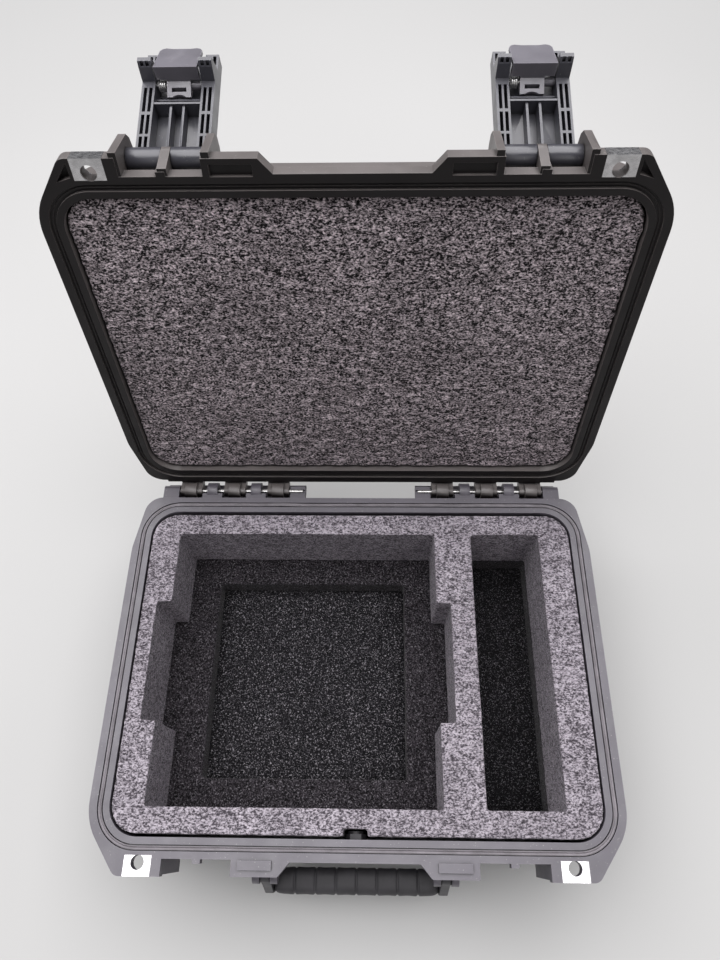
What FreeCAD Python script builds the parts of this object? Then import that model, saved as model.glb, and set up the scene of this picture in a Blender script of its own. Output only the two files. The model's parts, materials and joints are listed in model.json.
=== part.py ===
import FreeCAD, Part
import math
import os
import re
import Sketcher

# Hard equipment case with a hinged lid, two trigger latches, a folding handle,
# a foam lining and a vent valve.  Millimetres.  The origin is the centre of
# the underside, +X points right, +Y points to the hinge and +Z points up.
# The lid and everything on it is drawn closed, then placed at its open rest angle.

SIZES = {
    # Shell walls.  Half sizes are measured from the middle of the case.
    "inner_half_x": 192.4,
    "inner_half_y": 136.4,
    "inner_corner": 24.0,
    "wall_thick": 4.2,
    "foot_height": 3.0,
    "floor_thick": 3.0,
    "parting_height": 122.5,
    "bottom_round": 7.0,
    # Low bars under the base.  They fit between the bars on another case's lid.
    "bar_pitch": 56.0,
    "bar_half_y": 110.0,
    "foot_bar_half": 8.0,
    "lid_bar_first": 34.0,
    "lid_bar_half": 6.0,
    # Stiffening ribs on the walls, and the wall beside each latch.
    "side_rib_first": 25.0,
    "side_rib_second": 75.0,
    "rear_rib_first": 36.0,
    "rear_rib_second": 106.0,
    "rib_half": 6.0,
    "rib_proud": 5.0,
    "rib_rise": 14.0,
    "lid_rib_short": 12.0,
    "bay_wall_low": 58.0,
    "bay_wall_thick": 4.0,
    # Flange that both halves share, seen from above.
    "flange_thick": 9.0,
    "side_half_x": 208.3,
    "front_edge": 163.0,
    "rear_edge": 151.0,
    "front_corner_x": 181.3,
    "front_bend_y": 126.0,
    "rear_corner_x": 199.5,
    "rear_bend_y": 100.0,
    "front_round": 8.0,
    "rear_round": 16.0,
    "bend_round": 45.0,
    "recess_half_x": 49.5,
    "recess_edge": 152.3,
    "tongue_start_x": 58.2,
    "tongue_edge": 162.3,
    "bay_inner_x": 93.5,
    "bay_outer_x": 146.5,
    "bay_edge": 151.0,
    "bay_tab_half": 3.0,
    "bay_tab_reach": 3.0,
    # Gasket and the groove that holds it, as offsets out from the inner wall.
    "groove_near": 5.0,
    "groove_far": 9.6,
    "groove_deep": 3.5,
    "gasket_near": 5.7,
    "gasket_far": 9.0,
    "gasket_proud": 0.9,
    "lid_groove_deep": 2.2,
    "lid_rib_near": 6.9,
    "lid_rib_far": 7.7,
    "lid_rib_gap": 1.1,
    # Key pads on the base and the pockets in the lid that take them.
    "key_inner_x": 62.8,
    "key_outer_x": 88.2,
    "key_back_y": 151.4,
    "key_front_y": 157.8,
    "key_proud": 2.0,
    "key_play": 0.8,
    # Steel lock plates folded over the flange edge.
    "plate_inner_x": 154.1,
    "plate_outer_x": 174.7,
    "plate_back_y": 148.8,
    "plate_thick": 0.9,
    "plate_play": 0.1,
    "lock_hole_x": 164.4,
    "lock_hole_y": 153.6,
    "lock_hole_radius": 5.15,
    # Triangular pockets in the front corners of the lid flange, beside the plates.
    "pocket_side_gap": 2.3,
    "pocket_point_y": 160.0,
    "pocket_back_y": 150.5,
    "pocket_wide": 9.5,
    "pocket_far_y": 147.8,
    "corner_pocket_deep": 5.0,
    # Hinge.
    "hinge_axis_y": 160.6,
    "hinge_drop": 6.1,
    "knuckle_radius": 5.0,
    "cam_radius": 8.2,
    "lid_rear_edge": 153.5,
    "lid_rear_half_x": 184.0,
    "hinge_shelf_edge": 172.0,
    "hinge_shelf_drop": 10.0,
    "hinge_shelf_thick": 4.0,
    "knuckle_root_y": 156.2,
    "knuckle_root_gap": 0.7,
    "saddle_rise": 0.6,
    "hinge_pin_radius": 2.0,
    "pin_clearance": 0.05,
    "hinge_pin_start": 55.0,
    "hinge_pin_end": 184.5,
    "saddle_inner_x": 53.0,
    "saddle_outer_x": 66.9,
    "lid_knuckle_first": 78.2,
    "knuckle_pitch": 41.45,
    "lid_knuckle_root_half": 10.15,
    "lid_knuckle_half": 5.45,
    "base_knuckle_first": 98.9,
    "base_knuckle_root_half": 9.35,
    "base_knuckle_half": 4.7,
    "end_knuckle_inner_x": 172.4,
    "end_knuckle_outer_x": 187.0,
    "lid_open_angle": 102.0,
    # Lid.
    "lid_depth": 38.0,
    "lid_top_thick": 4.0,
    "lid_rib_proud": 4.0,
    # Latch bay on the lid: two ears and a middle rib hold the latch pin.
    # Each "rise" is measured from the parting plane.
    "latch_centre": 118.6,
    "latch_axis_y": 152.4,
    "latch_axis_rise": 20.2,
    "ear_inner_gap": 26.0,
    "ear_thick": 5.0,
    "ear_foot_rise": 0.5,
    "ear_foot_y": 166.2,
    "ear_crest_y": 164.5,
    "ear_crest_rise": 28.5,
    "ear_shoulder_y": 160.0,
    "ear_shoulder_rise": 33.5,
    "ear_top_y": 152.0,
    "ear_top_rise": 36.0,
    "middle_rib_half": 3.0,
    "middle_rib_radius": 7.0,
    "middle_rib_foot_y": 156.0,
    "latch_pin_radius": 2.0,
    "latch_open_angle": 156.6,
    # Latch body in its own frame: Y is height towards the case and -Z runs
    # along the latch from its pin.  A "drop" lies below the pin's height.
    "barrel_radius": 6.8,
    "barrel_half": 25.7,
    "barrel_gap_half": 3.35,
    "neck_half": 6.3,
    "neck_end": 12.0,
    "latch_half_width": 24.6,
    "latch_start": 8.8,
    "latch_end": 94.0,
    "skin_start_drop": 15.5,
    "skin_drop": 21.5,
    "skin_level_start": 22.0,
    "latch_plate_thick": 3.0,
    "rail_drop": 6.5,
    "rail_start_x": 15.7,
    "shelf_drop": 11.0,
    "slot_width": 2.2,
    "slot_first_x": 17.2,
    "slot_pitch_x": 3.6,
    "slot_root_drop": 13.0,
    "slot_root": 13.0,
    "slot_root_end": 22.9,
    "slot_first": 24.9,
    "slot_first_end": 40.3,
    "slot_second": 42.7,
    "slot_second_end": 62.2,
    "jaw_slot": 69.8,
    "jaw_slot_end": 71.2,
    "jaw_slot_drop": 1.0,
    "end_slot": 81.5,
    "end_slot_end": 92.4,
    "tray_rib_half": 0.8,
    "tray_rib_x": 4.3,
    "tray_rib_drop": 8.4,
    "cross_rib_start": 49.2,
    "cross_rib_end": 50.7,
    "cross_rib_drop": 7.0,
    "low_rib_start": 56.3,
    "low_rib_end": 57.6,
    "low_rib_drop": 12.0,
    "jaw_foot": 67.0,
    "jaw_throat": 69.4,
    "jaw_throat_rise": 2.8,
    "jaw_tip": 71.0,
    "jaw_tip_end": 74.0,
    "jaw_rise": 6.5,
    "jaw_back": 80.0,
    "jaw_back_drop": 9.0,
    # Trigger, drawn in the latch's frame.
    "trigger_axis_along": 68.0,
    "trigger_axis_drop": 11.0,
    "trigger_pin_radius": 1.6,
    "trigger_pin_half": 22.0,
    "trigger_pin_play": 0.2,
    "hub_radius": 3.6,
    "side_hub_radius": 2.7,
    "side_hub_end": 15.5,
    "hook_half_x": 8.0,
    "hook_root": 67.0,
    "hook_root_drop": 6.4,
    "hook_start": 58.0,
    "hook_start_drop": 10.5,
    "hook_thick": 2.4,
    "hook_slot_half": 5.0,
    "hook_slot_start": 61.0,
    "hook_slot_end": 63.5,
    "hook_scoop_radius": 8.6,
    "hook_scoop_deep": 1.4,
    "block_half": 14.4,
    "block_edge": 67.7,
    "block_rise": 4.8,
    "block_low_drop": 5.0,
    "block_thick": 4.0,
    "tab_half": 14.5,
    "tab_end": 95.5,
    "tab_end_drop": 7.0,
    "tab_thick": 2.6,
    "tab_corner": 4.0,
    "tab_hollow": 1.0,
    "spring_radius": 3.1,
    "spring_wire_radius": 0.55,
    "spring_length": 5.4,
    "spring_pitch": 1.35,
    "spring_gap": 0.3,
    # Keeper ledge on the base that the trigger block catches under.
    "keeper_half_x": 14.0,
    "keeper_tip_y": 150.2,
    "keeper_low": 75.6,
    "keeper_high": 81.7,
    "keeper_slope": 8.0,
    # Folding handle.
    "handle_axis_y": 160.0,
    "handle_axis_height": 94.5,
    "handle_pin_radius": 2.5,
    "handle_hub_radius": 7.0,
    "handle_lug_radius": 8.0,
    "inner_lug_x": 60.5,
    "outer_lug_x": 74.5,
    "lug_thick": 5.5,
    "lug_web_above": 8.0,
    "lug_web_below": 12.0,
    "hub_inner_x": 66.5,
    "hub_outer_x": 74.0,
    "arm_inner_x": 67.0,
    "arm_outer_x": 74.0,
    "grip_axis_y": 167.0,
    "grip_axis_height": 56.0,
    "bar_half": 5.0,
    "grip_half_x": 66.8,
    "grip_half_y": 10.0,
    "grip_half_z": 11.0,
    "grip_round": 7.0,
    "grip_groove_pitch": 16.7,
    "grip_groove_half": 0.8,
    "grip_groove_deep": 1.0,
    # Foam lining.
    "foam_half_x": 191.4,
    "foam_half_y": 134.4,
    "foam_corner": 22.0,
    "foam_base_thick": 24.0,
    "foam_middle_thick": 22.0,
    "foam_top_thick": 68.3,
    "lid_foam_recess": 4.0,
    "lid_foam_gap": 0.2,
    # Cut-outs in the foam.
    "pocket_left": 165.8,
    "pocket_right": 68.5,
    "pocket_half_y": 115.0,
    "notch_left": 178.7,
    "notch_right": 81.2,
    "notch_half_y": 50.2,
    "well_left": 138.1,
    "well_right": 42.9,
    "well_half_y": 89.2,
    "side_pocket_left": 102.2,
    "side_pocket_right": 163.5,
    "valve_notch_half": 9.5,
    "valve_notch_deep": 5.4,
    # Vent valve in the front wall.
    "valve_height": 100.0,
    "valve_radius": 6.0,
    "valve_head_radius": 9.5,
    "valve_head_thick": 3.0,
    "valve_seal_radius": 9.0,
    "valve_seal_thick": 1.5,
    "valve_nut_radius": 8.6,
    "valve_nut_thick": 4.0,
    "valve_inner_reach": 5.9,
    "valve_cap_radius": 7.5,
    "valve_cap_thick": 4.2,
    "valve_stub_radius": 3.5,
    "valve_stub_reach": 2.0,
}

doc = FreeCAD.newDocument("equipment_case")
sheet = doc.addObject("Spreadsheet::Sheet", "Sizes")
for row, (alias, size) in enumerate(SIZES.items(), start=1):
    sheet.set("A%d" % row, alias.replace("_", " "))
    sheet.set("B%d" % row, str(size))
    sheet.setAlias("B%d" % row, alias)
doc.recompute()

# Heights that many pieces share, as expressions of the sheet's sizes.
FLANGE_LOW = "parting_height - flange_thick"
FLOOR_TOP = "foot_height + floor_thick"
OUTER_X = "inner_half_x + wall_thick"
OUTER_Y = "inner_half_y + wall_thick"
OUTER_CORNER = "inner_corner + wall_thick"
HINGE_Z = "parting_height - hinge_drop"
BAY_MIDDLE = "(bay_inner_x + bay_outer_x) / 2"
LID_FLANGE_TOP = "parting_height + flange_thick"
LID_INNER_TOP = "parting_height + lid_depth"
LID_TOP = "parting_height + lid_depth + lid_top_thick"
LATCH_Z = "parting_height + latch_axis_rise"
TRIGGER_AXIS = ("-trigger_axis_drop", "-trigger_axis_along")

pieces = []


# ---------------------------------------------------------------- helpers

def bound(expression):
    """Point every size name in an expression at the spreadsheet."""
    return re.sub(r"[a-z]+(?:_[a-z]+)+", r"Sizes.\g<0>", expression)


def value(expression):
    """The number that an expression of sizes gives now."""
    return float(sheet.evalExpression(expression))


def minus(expression):
    return "-(%s)" % expression


def new_piece(label):
    """A body for one physical piece of the case."""
    body = doc.addObject("PartDesign::Body", label)
    body.Label = label
    pieces.append(body)
    return body


def new_sketch(body, role, offset="0"):
    """A sketch on one of the body's own origin planes, moved out along its normal."""
    plane = next(item for item in body.Origin.OriginFeatures if item.Role == role)
    sketch = body.newObject("Sketcher::SketchObject", body.Name + "_sketch")
    sketch.AttachmentSupport = (plane, [""])
    sketch.MapMode = "FlatFace"
    sketch.setExpression("AttachmentOffset.Base.z", bound(offset))
    return sketch


def place_point(sketch, geometry, point, across, up):
    """Hold one point of a sketch at expressions measured from its origin."""
    for kind, expression in (("DistanceX", across), ("DistanceY", up)):
        rule = Sketcher.Constraint(kind, -1, 1, geometry, point, value(expression))
        index = sketch.addConstraint(rule)
        sketch.setExpression("Constraints[%d]" % index, bound(expression))


def add_outline(sketch, corners):
    """A closed outline of straight lines through the corners."""
    points = [FreeCAD.Vector(value(x), value(y), 0) for x, y in corners]
    count = len(points)
    first = sketch.GeometryCount
    for i in range(count):
        sketch.addGeometry(Part.LineSegment(points[i], points[(i + 1) % count]), False)
    for i in range(count):
        following = first + (i + 1) % count
        sketch.addConstraint(Sketcher.Constraint("Coincident", first + i, 2, following, 1))
    for i, (x, y) in enumerate(corners):
        place_point(sketch, first + i, 1, x, y)


def add_rectangle(sketch, left, right, low, high):
    add_outline(sketch, [(left, low), (right, low), (right, high), (left, high)])


def add_circle(sketch, across, up, radius):
    centre = FreeCAD.Vector(value(across), value(up), 0)
    circle = Part.Circle(centre, FreeCAD.Vector(0, 0, 1), value(radius))
    index = sketch.addGeometry(circle, False)
    place_point(sketch, index, 3, across, up)
    rule = sketch.addConstraint(Sketcher.Constraint("Radius", index, value(radius)))
    sketch.setExpression("Constraints[%d]" % rule, bound(radius))


def pad(body, sketch, length, reverse=False):
    feature = body.newObject("PartDesign::Pad", body.Name + "_pad")
    feature.Profile = sketch
    feature.setExpression("Length", bound(length))
    feature.Reversed = reverse
    sketch.Visibility = False
    return feature


def pocket(body, sketch, length, reverse=False):
    feature = body.newObject("PartDesign::Pocket", body.Name + "_pocket")
    feature.Profile = sketch
    feature.setExpression("Length", bound(length))
    feature.Reversed = reverse
    sketch.Visibility = False
    return feature


def blocks(body, rectangles, low, high, cut=False):
    """Upright blocks between two heights, added to the body or cut from it."""
    sketch = new_sketch(body, "XY_Plane", high if cut else low)
    for rectangle in rectangles:
        add_rectangle(sketch, *rectangle)
    length = "(%s) - (%s)" % (high, low)
    return pocket(body, sketch, length) if cut else pad(body, sketch, length)


def slab(body, left, right, corners, cut=False):
    """A slab between two X positions, whose outline is given in Y and Z."""
    sketch = new_sketch(body, "YZ_Plane", left)
    add_outline(sketch, corners)
    length = "(%s) - (%s)" % (right, left)
    if cut:
        return pocket(body, sketch, length, reverse=True)
    return pad(body, sketch, length)


def rod(body, left, right, y, z, radius, cut=False):
    """A round bar, or a round hole, along X."""
    sketch = new_sketch(body, "YZ_Plane", left)
    add_circle(sketch, y, z, radius)
    length = "(%s) - (%s)" % (right, left)
    if cut:
        return pocket(body, sketch, length, reverse=True)
    return pad(body, sketch, length)


def mirror(body, features):
    """Repeat features on the other side of the case's middle plane."""
    doc.recompute()
    plane = next(item for item in body.Origin.OriginFeatures if item.Role == "YZ_Plane")
    feature = body.newObject("PartDesign::Mirrored", body.Name + "_mirror")
    feature.Originals = features
    feature.MirrorPlane = (plane, [""])
    body.Tip = feature
    return feature


def round_edges(body, chosen, radius):
    """Fillet the edges of the body that the test picks."""
    doc.recompute()
    base = body.Tip
    names = ["Edge%d" % (i + 1) for i, edge in enumerate(base.Shape.Edges) if chosen(edge)]
    feature = body.newObject("PartDesign::Fillet", body.Name + "_round")
    feature.Base = (base, names)
    feature.setExpression("Radius", bound(radius))
    return feature


def upright_at(spots):
    """A test for upright edges that stand at any of the (x, y) spots."""
    def chosen(edge):
        if len(edge.Vertexes) < 2:
            return False
        start, end = edge.Vertexes[0].Point, edge.Vertexes[-1].Point
        if abs(start.x - end.x) > 0.01 or abs(start.y - end.y) > 0.01:
            return False
        return any(abs(start.x - x) < 0.1 and abs(start.y - y) < 0.1 for x, y in spots)
    return chosen


def rounded_block(body, half_x, half_y, corner, low, high, cut=False):
    """A block centred on the case, with its four upright edges rounded."""
    sketch = new_sketch(body, "XY_Plane", high if cut else low)
    add_rounded_rectangle(sketch, half_x, half_y, corner)
    length = "(%s) - (%s)" % (high, low)
    return pocket(body, sketch, length) if cut else pad(body, sketch, length)


def add_rounded_rectangle(sketch, half_x, half_y, corner):
    """Four straight sides joined by tangent quarter circles."""
    x, y, r = value(half_x), value(half_y), value(corner)
    first = sketch.GeometryCount
    ends = [((r - x, -y), (x - r, -y)), ((x, r - y), (x, y - r)),
            ((x - r, y), (r - x, y)), ((-x, y - r), (-x, r - y))]
    for (x0, y0), (x1, y1) in ends:
        side = Part.LineSegment(FreeCAD.Vector(x0, y0, 0), FreeCAD.Vector(x1, y1, 0))
        sketch.addGeometry(side, False)
    centres = [(x - r, r - y), (x - r, y - r), (r - x, y - r), (r - x, r - y)]
    quarter = math.pi / 2
    for i, (cx, cy) in enumerate(centres):
        circle = Part.Circle(FreeCAD.Vector(cx, cy, 0), FreeCAD.Vector(0, 0, 1), r)
        start = (i - 1) * quarter
        sketch.addGeometry(Part.ArcOfCircle(circle, start, start + quarter), False)
    for i in range(4):
        side, arc, following = first + i, first + 4 + i, first + (i + 1) % 4
        direction = "Horizontal" if i % 2 == 0 else "Vertical"
        sketch.addConstraint(Sketcher.Constraint(direction, side))
        sketch.addConstraint(Sketcher.Constraint("Tangent", side, 2, arc, 1))
        sketch.addConstraint(Sketcher.Constraint("Tangent", arc, 2, following, 1))
        if i:
            sketch.addConstraint(Sketcher.Constraint("Equal", first + 4, arc))
    rules = [("DistanceY", first, minus(half_y)), ("DistanceX", first + 1, half_x),
             ("DistanceY", first + 2, half_y), ("DistanceX", first + 3, minus(half_x))]
    for kind, side, expression in rules:
        rule = Sketcher.Constraint(kind, -1, 1, side, 1, value(expression))
        index = sketch.addConstraint(rule)
        sketch.setExpression("Constraints[%d]" % index, bound(expression))
    index = sketch.addConstraint(Sketcher.Constraint("Radius", first + 4, r))
    sketch.setExpression("Constraints[%d]" % index, bound(corner))


def ring_sketch(body, near, far, height):
    """The two outlines of a ring that runs around the rim, at offsets from the wall."""
    sketch = new_sketch(body, "XY_Plane", height)
    for offset in (far, near):
        half_x = "inner_half_x + %s" % offset
        half_y = "inner_half_y + %s" % offset
        add_rounded_rectangle(sketch, half_x, half_y, "inner_corner + %s" % offset)
    return sketch


# ---------------------------------------------------------------- features both shells share

def flange(body, low, high):
    """The flange outline: right half from the front middle to the rear, then mirrored."""
    half = [
        ("recess_half_x", "-recess_edge"),
        ("tongue_start_x", "-tongue_edge"),
        ("bay_inner_x", "-tongue_edge"),
        ("bay_inner_x", "-bay_edge"),
        (BAY_MIDDLE + " - bay_tab_half", "-bay_edge"),
        (BAY_MIDDLE + " - bay_tab_half", "-bay_edge - bay_tab_reach"),
        (BAY_MIDDLE + " + bay_tab_half", "-bay_edge - bay_tab_reach"),
        (BAY_MIDDLE + " + bay_tab_half", "-bay_edge"),
        ("bay_outer_x", "-bay_edge"),
        ("bay_outer_x", "-front_edge"),
        ("front_corner_x", "-front_edge"),
        ("side_half_x", "-front_bend_y"),
        ("side_half_x", "rear_bend_y"),
        ("rear_corner_x", "rear_edge"),
    ]
    other = [(minus(x), y) for x, y in reversed(half)]
    sketch = new_sketch(body, "XY_Plane", low)
    add_outline(sketch, half + other)
    pad(body, sketch, "(%s) - (%s)" % (high, low))
    x, y = value("front_corner_x"), -value("front_edge")
    round_edges(body, upright_at([(x, y), (-x, y)]), "front_round")
    x, y = value("rear_corner_x"), value("rear_edge")
    round_edges(body, upright_at([(x, y), (-x, y)]), "rear_round")
    x = value("side_half_x")
    bends = [(side * x, y) for side in (1, -1)
             for y in (-value("front_bend_y"), value("rear_bend_y"))]
    round_edges(body, upright_at(bends), "bend_round")


def lock_plate_seat(body, face, inward):
    """Room for a folded steel plate on the flange, and the lock hole through it.

    face is the flange side that meets the other half; inward is +1 or -1,
    the way from that face into the flange along Z.
    """
    far = "%s + (%s) * flange_thick" % (face, inward)
    skin = "(%s) * (plate_thick + plate_play)" % inward
    rim = [("-plate_back_y + plate_play", face),
           ("-front_edge - 1", face),
           ("-front_edge - 1", far),
           ("-plate_back_y + plate_play", far),
           ("-plate_back_y + plate_play", "%s - %s" % (far, skin)),
           ("-front_edge + plate_thick + plate_play", "%s - %s" % (far, skin)),
           ("-front_edge + plate_thick + plate_play", "%s + %s" % (face, skin)),
           ("-plate_back_y + plate_play", "%s + %s" % (face, skin))]
    seat = slab(body, "plate_inner_x - plate_play", "plate_outer_x + plate_play", rim, cut=True)
    top = "max(%s; %s) + 1" % (face, far)
    sketch = new_sketch(body, "XY_Plane", top)
    add_circle(sketch, "lock_hole_x", "-lock_hole_y", "lock_hole_radius")
    hole = pocket(body, sketch, "flange_thick + 2")
    return [seat, hole]


# ---------------------------------------------------------------- base shell

def base_shell():
    body = new_piece("base_shell")
    rounded_block(body, OUTER_X, OUTER_Y, OUTER_CORNER, "foot_height", "parting_height")
    round_edges(body, lambda edge: edge.BoundBox.ZMax < value("foot_height") + 0.01,
                "bottom_round")
    flange(body, FLANGE_LOW, "parting_height")
    middle_bar = ("-foot_bar_half", "foot_bar_half", "-bar_half_y", "bar_half_y")
    blocks(body, [middle_bar], "0", "foot_height + 1")
    features = [*foot_bars(body), *base_ribs(body), *handle_lugs(body), *latch_keeper(body),
                *base_knuckles(body), *key_pad(body)]
    features += lock_plate_seat(body, "parting_height", "-1")
    mirror(body, features)
    rounded_block(body, "inner_half_x", "inner_half_y", "inner_corner", FLOOR_TOP,
                  "parting_height + 5", cut=True)
    groove = ring_sketch(body, "groove_near", "groove_far", "parting_height")
    pocket(body, groove, "groove_deep")
    pin_holes = [
        rod(body, "saddle_inner_x - 1", "hinge_pin_end + 0.5", "hinge_axis_y", HINGE_Z,
            "hinge_pin_radius + pin_clearance", cut=True),
        rod(body, "inner_lug_x - 2", "outer_lug_x + lug_thick + 2", "-handle_axis_y",
            "handle_axis_height", "handle_pin_radius + pin_clearance", cut=True)]
    mirror(body, pin_holes)
    sketch = new_sketch(body, "XZ_Plane", "inner_half_y - 10")
    add_circle(sketch, "0", "valve_height", "valve_radius + pin_clearance")
    pocket(body, sketch, "wall_thick + 20", reverse=True)
    return body


def foot_bars(body):
    """Two of the low bars that the case stands on."""
    bars = []
    for place in ("0.5", "1.5"):
        middle = "lid_bar_first + %s * bar_pitch" % place
        bars.append((middle + " - foot_bar_half", middle + " + foot_bar_half",
                     "-bar_half_y", "bar_half_y"))
    return [blocks(body, bars, "0", "foot_height + 1")]


def rib_spot(middle):
    """The low and high ends of a rib around its middle."""
    return middle + " - rib_half", middle + " + rib_half"


def side_ribs():
    """Outlines of the four ribs on the right wall, seen from above."""
    middles = ["side_rib_first", "side_rib_second", "-side_rib_first", "-side_rib_second"]
    return [(OUTER_X + " - 1", OUTER_X + " + rib_proud", *rib_spot(y)) for y in middles]


def base_ribs(body):
    """Stiffening ribs up the side and rear walls, and the wall beside each latch."""
    rear = [(*rib_spot(x), OUTER_Y + " - 1", OUTER_Y + " + rib_proud")
            for x in ("rear_rib_first", "rear_rib_second")]
    low = blocks(body, side_ribs() + rear, "foot_height + rib_rise", FLANGE_LOW + " + 1")
    bay_wall = [("bay_outer_x + 1", "bay_outer_x + 1 + bay_wall_thick", "-front_edge + 1",
                 minus(OUTER_Y) + " + 1")]
    return [low, blocks(body, bay_wall, "bay_wall_low", FLANGE_LOW + " + 1")]


def handle_lugs(body):
    """Two lugs that hold each handle pin."""
    made = []
    for start in ("inner_lug_x", "outer_lug_x"):
        end = start + " + lug_thick"
        made.append(rod(body, start, end, "-handle_axis_y", "handle_axis_height",
                        "handle_lug_radius"))
        web = [("-handle_axis_y", "handle_axis_height - handle_lug_radius"),
               (minus(OUTER_Y) + " + 1", "handle_axis_height - handle_lug_radius - lug_web_below"),
               (minus(OUTER_Y) + " + 1", "handle_axis_height + handle_lug_radius + lug_web_above"),
               ("-handle_axis_y", "handle_axis_height + handle_lug_radius")]
        made.append(slab(body, start, end, web))
    return made


def latch_keeper(body):
    """The ledge that the latch hook catches under."""
    wall = minus(OUTER_Y) + " + 1"
    ledge = [("-keeper_tip_y", "keeper_low"), (wall, "keeper_low"),
             (wall, "keeper_high + keeper_slope"), ("-keeper_tip_y", "keeper_high")]
    return [slab(body, "latch_centre - keeper_half_x", "latch_centre + keeper_half_x", ledge)]


def base_knuckles(body):
    """Hinge knuckles of the base on the right, the open saddle, and the shelf below them."""
    made = []
    low = HINGE_Z + " - knuckle_radius"
    high = HINGE_Z + " + knuckle_radius"
    for i in range(2):
        middle = "base_knuckle_first + %d * knuckle_pitch" % i
        made.append(blocks(body, [(middle + " - base_knuckle_root_half",
                                   middle + " + base_knuckle_root_half",
                                   "rear_edge - 1", "knuckle_root_y")], low, high))
        left, right = middle + " - base_knuckle_half", middle + " + base_knuckle_half"
        made += barrel(body, left, right, "rear_edge", low, high)
        made.append(rod(body, left, right, "hinge_axis_y", HINGE_Z, "cam_radius"))
    made += barrel(body, "end_knuckle_inner_x", "end_knuckle_outer_x", "rear_edge - 1", low, high)
    saddle = [("saddle_inner_x", "saddle_outer_x", "rear_edge - 1",
               "hinge_axis_y + knuckle_radius")]
    made.append(blocks(body, saddle, low, HINGE_Z + " + saddle_rise"))
    shelf = [("saddle_inner_x", "end_knuckle_outer_x", OUTER_Y + " - 1", "hinge_shelf_edge")]
    made.append(blocks(body, shelf, HINGE_Z + " - hinge_shelf_drop - hinge_shelf_thick",
                       HINGE_Z + " - hinge_shelf_drop"))
    return made


def barrel(body, left, right, root_y, low, high):
    """A knuckle barrel around the hinge axis with its neck."""
    neck = blocks(body, [(left, right, root_y, "hinge_axis_y")], low, high)
    return [neck, rod(body, left, right, "hinge_axis_y", HINGE_Z, "knuckle_radius")]


def key_pad(body):
    """Raised pad that fits a pocket in the lid flange."""
    spot = [("key_inner_x", "key_outer_x", "-key_front_y", "-key_back_y")]
    return [blocks(body, spot, "parting_height - 1", "parting_height + key_proud")]


def rim_gasket():
    body = new_piece("rim_gasket")
    sketch = ring_sketch(body, "gasket_near", "gasket_far", "parting_height - groove_deep")
    pad(body, sketch, "groove_deep + gasket_proud")
    top = value("parting_height + gasket_proud")
    round_edges(body, lambda edge: edge.BoundBox.ZMin > top - 0.01, "gasket_proud * 1.2")
    return body


# ---------------------------------------------------------------- lid shell, drawn closed

def lid_shell():
    body = new_piece("lid_shell")
    rounded_block(body, OUTER_X, OUTER_Y, OUTER_CORNER, "parting_height", LID_TOP)
    top = value(LID_TOP)
    round_edges(body, lambda edge: edge.BoundBox.ZMin > top - 0.01, "bottom_round")
    flange(body, "parting_height", LID_FLANGE_TOP)
    features = [*lid_top_ribs(body), *latch_ears(body), *lid_knuckles(body)]
    features += lock_plate_seat(body, "parting_height", "1")
    features += [key_pocket(body), corner_pocket(body)]
    mirror(body, features)
    sketch = new_sketch(body, "XY_Plane", "parting_height")
    add_rounded_rectangle(sketch, "inner_half_x", "inner_half_y", "inner_corner")
    pocket(body, sketch, "lid_depth", reverse=True)
    groove = ring_sketch(body, "groove_near", "groove_far", "parting_height")
    pocket(body, groove, "lid_groove_deep", reverse=True)
    rib = ring_sketch(body, "lid_rib_near", "lid_rib_far", "parting_height + lid_rib_gap")
    pad(body, rib, "lid_groove_deep - lid_rib_gap + 0.2")
    holes = [
        rod(body, "saddle_inner_x", "end_knuckle_inner_x", "hinge_axis_y", HINGE_Z,
            "hinge_pin_radius + pin_clearance", cut=True),
        rod(body, "latch_centre - ear_inner_gap - ear_thick - 1",
            "latch_centre + ear_inner_gap + ear_thick + 1", "-latch_axis_y", LATCH_Z,
            "latch_pin_radius + pin_clearance", cut=True)]
    mirror(body, holes)
    return body


def lid_top_ribs(body):
    """Raised bars on the lid's outside, and the ribs up its side walls."""
    bars = []
    for i in range(3):
        middle = "lid_bar_first + %d * bar_pitch" % i
        bars.append((middle + " - lid_bar_half", middle + " + lid_bar_half",
                     "-bar_half_y", "bar_half_y"))
    top_bars = blocks(body, bars, LID_TOP + " - 1", LID_TOP + " + lid_rib_proud")
    return [top_bars, blocks(body, side_ribs(), LID_FLANGE_TOP + " - 1", LID_TOP + " - lid_rib_short")]


def latch_ears(body):
    """Two ears and a middle rib that hold a latch pin."""
    wall = minus(OUTER_Y) + " + 1"
    low = "parting_height + ear_foot_rise"
    top = "parting_height + ear_top_rise"
    outline = [(wall, low),
               ("-ear_foot_y", low),
               ("-ear_crest_y", "parting_height + ear_crest_rise"),
               ("-ear_shoulder_y", "parting_height + ear_shoulder_rise"),
               ("-ear_top_y", top),
               (wall, top)]
    inner = "latch_centre - ear_inner_gap"
    outer = "latch_centre + ear_inner_gap"
    made = [slab(body, inner + " - ear_thick", inner, outline),
            slab(body, outer, outer + " + ear_thick", outline)]
    left, right = "latch_centre - middle_rib_half", "latch_centre + middle_rib_half"
    web = [(wall, low),
           ("-middle_rib_foot_y", low),
           ("-latch_axis_y - middle_rib_radius", LATCH_Z),
           ("-latch_axis_y", LATCH_Z + " + middle_rib_radius"),
           (wall, LATCH_Z + " + middle_rib_radius")]
    made.append(slab(body, left, right, web))
    made.append(rod(body, left, right, "-latch_axis_y", LATCH_Z, "middle_rib_radius"))
    return made


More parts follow.
